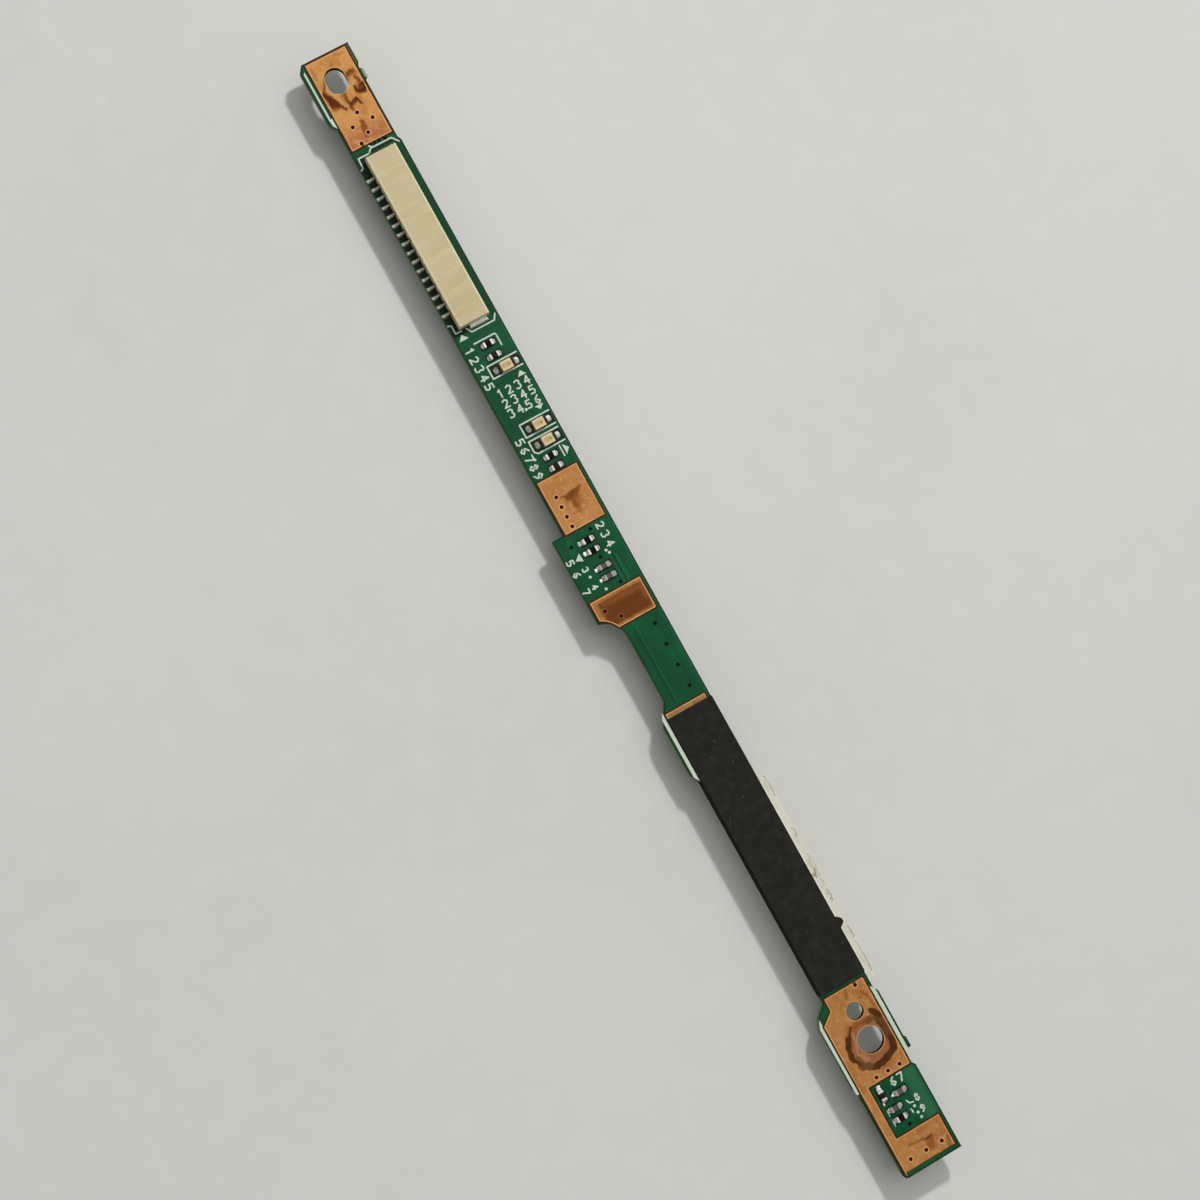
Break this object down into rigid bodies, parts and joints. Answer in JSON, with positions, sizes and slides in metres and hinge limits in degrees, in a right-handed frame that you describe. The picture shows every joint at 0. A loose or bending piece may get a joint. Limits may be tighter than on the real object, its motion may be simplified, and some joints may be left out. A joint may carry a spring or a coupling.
{
  "type": "laptop webcam board",
  "caption": "Long narrow laptop webcam circuit board with a side-entry connector, indicator lamps, bare copper lands, tape, and a camera and microphones on its underside.",
  "frame": {"origin": "middle of the part's box at the level it stands on: the fronts of the lens barrel and the microphone boots", "axes": "+X along the board from the connector end to the screw end; +Y to the edge the connector opens to; +Z the face that carries the connector"},
  "size_m": [0.1228, 0.0076, 0.0052],
  "materials": {
    "solder_mask": "green solder mask over glass laminate, semi-gloss",
    "bare_copper": "bare copper, lightly tarnished, with brown stains",
    "connector_nylon": "moulded beige nylon",
    "tinned_metal": "tin-plated copper alloy",
    "lamp_carrier": "pale moulded carrier",
    "lamp_lens": "clear yellow moulded resin",
    "resistor_body": "black glazed chip resistor with tinned ends",
    "capacitor_body": "grey-brown chip capacitor with tinned ends",
    "black_tape": "matt black insulating tape",
    "adhesive_film": "milky double-sided adhesive film",
    "sensor_package": "dark glass-topped sensor package",
    "camera_black": "black moulded camera plastic",
    "optical_glass": "coated optical glass",
    "chip_black": "black moulded chip package",
    "crystal_can": "nickel-plated lid on a ceramic base",
    "microphone_can": "plated metal can",
    "boot_rubber": "soft black rubber"
  },
  "bodies": {
    "root": {"adhesive_strip": "adhesive_film", "bead_end": "capacitor_body", "board": "solder_mask", "bypass_capacitor_mating": "capacitor_body", "bypass_capacitor_tail": "capacitor_body", "camera_land": "bare_copper", "capacitor_camera_a": "capacitor_body", "capacitor_camera_b": "capacitor_body", "capacitor_end_a": "capacitor_body", "capacitor_end_b": "capacitor_body", "capacitor_lamp_a": "capacitor_body", "capacitor_lamp_b": "capacitor_body", "centre_land": "bare_copper", "connector_end_land": "bare_copper", "connector_housing": "connector_nylon", "connector_tab_left": "tinned_metal", "connector_tab_right": "tinned_metal", "contact_01": "tinned_metal", "contact_02": "tinned_metal", "contact_03": "tinned_metal", "contact_04": "tinned_metal", "contact_05": "tinned_metal", "contact_06": "tinned_metal", "contact_07": "tinned_metal", "contact_08": "tinned_metal", "contact_09": "tinned_metal", "contact_10": "tinned_metal", "contact_11": "tinned_metal", "contact_12": "tinned_metal", "contact_13": "tinned_metal", "contact_14": "tinned_metal", "contact_15": "tinned_metal", "contact_16": "tinned_metal", "crystal": "crystal_can", "flash_memory": "chip_black", "front_lens": "optical_glass", "image_processor": "chip_black", "image_sensor": "sensor_package", "infrared_filter": "optical_glass", "insulating_tape": "black_tape", "led_base_1": "lamp_carrier", "led_base_2": "lamp_carrier", "led_base_3": "lamp_carrier", "led_lens_1": "lamp_lens", "led_lens_2": "lamp_lens", "led_lens_3": "lamp_lens", "lens_barrel": "camera_black", "lens_holder": "camera_black", "microphone_boot_left": "boot_rubber", "microphone_boot_right": "boot_rubber", "microphone_left": "microphone_can", "microphone_right": "microphone_can", "regulator": "chip_black", "resistor_camera_a": "resistor_body", "resistor_camera_b": "resistor_body", "resistor_end": "resistor_body", "resistor_lamp_a": "resistor_body", "resistor_lamp_b": "resistor_body", "screw_end_land": "bare_copper", "taped_land": "bare_copper"}
  },
  "joints": []
}
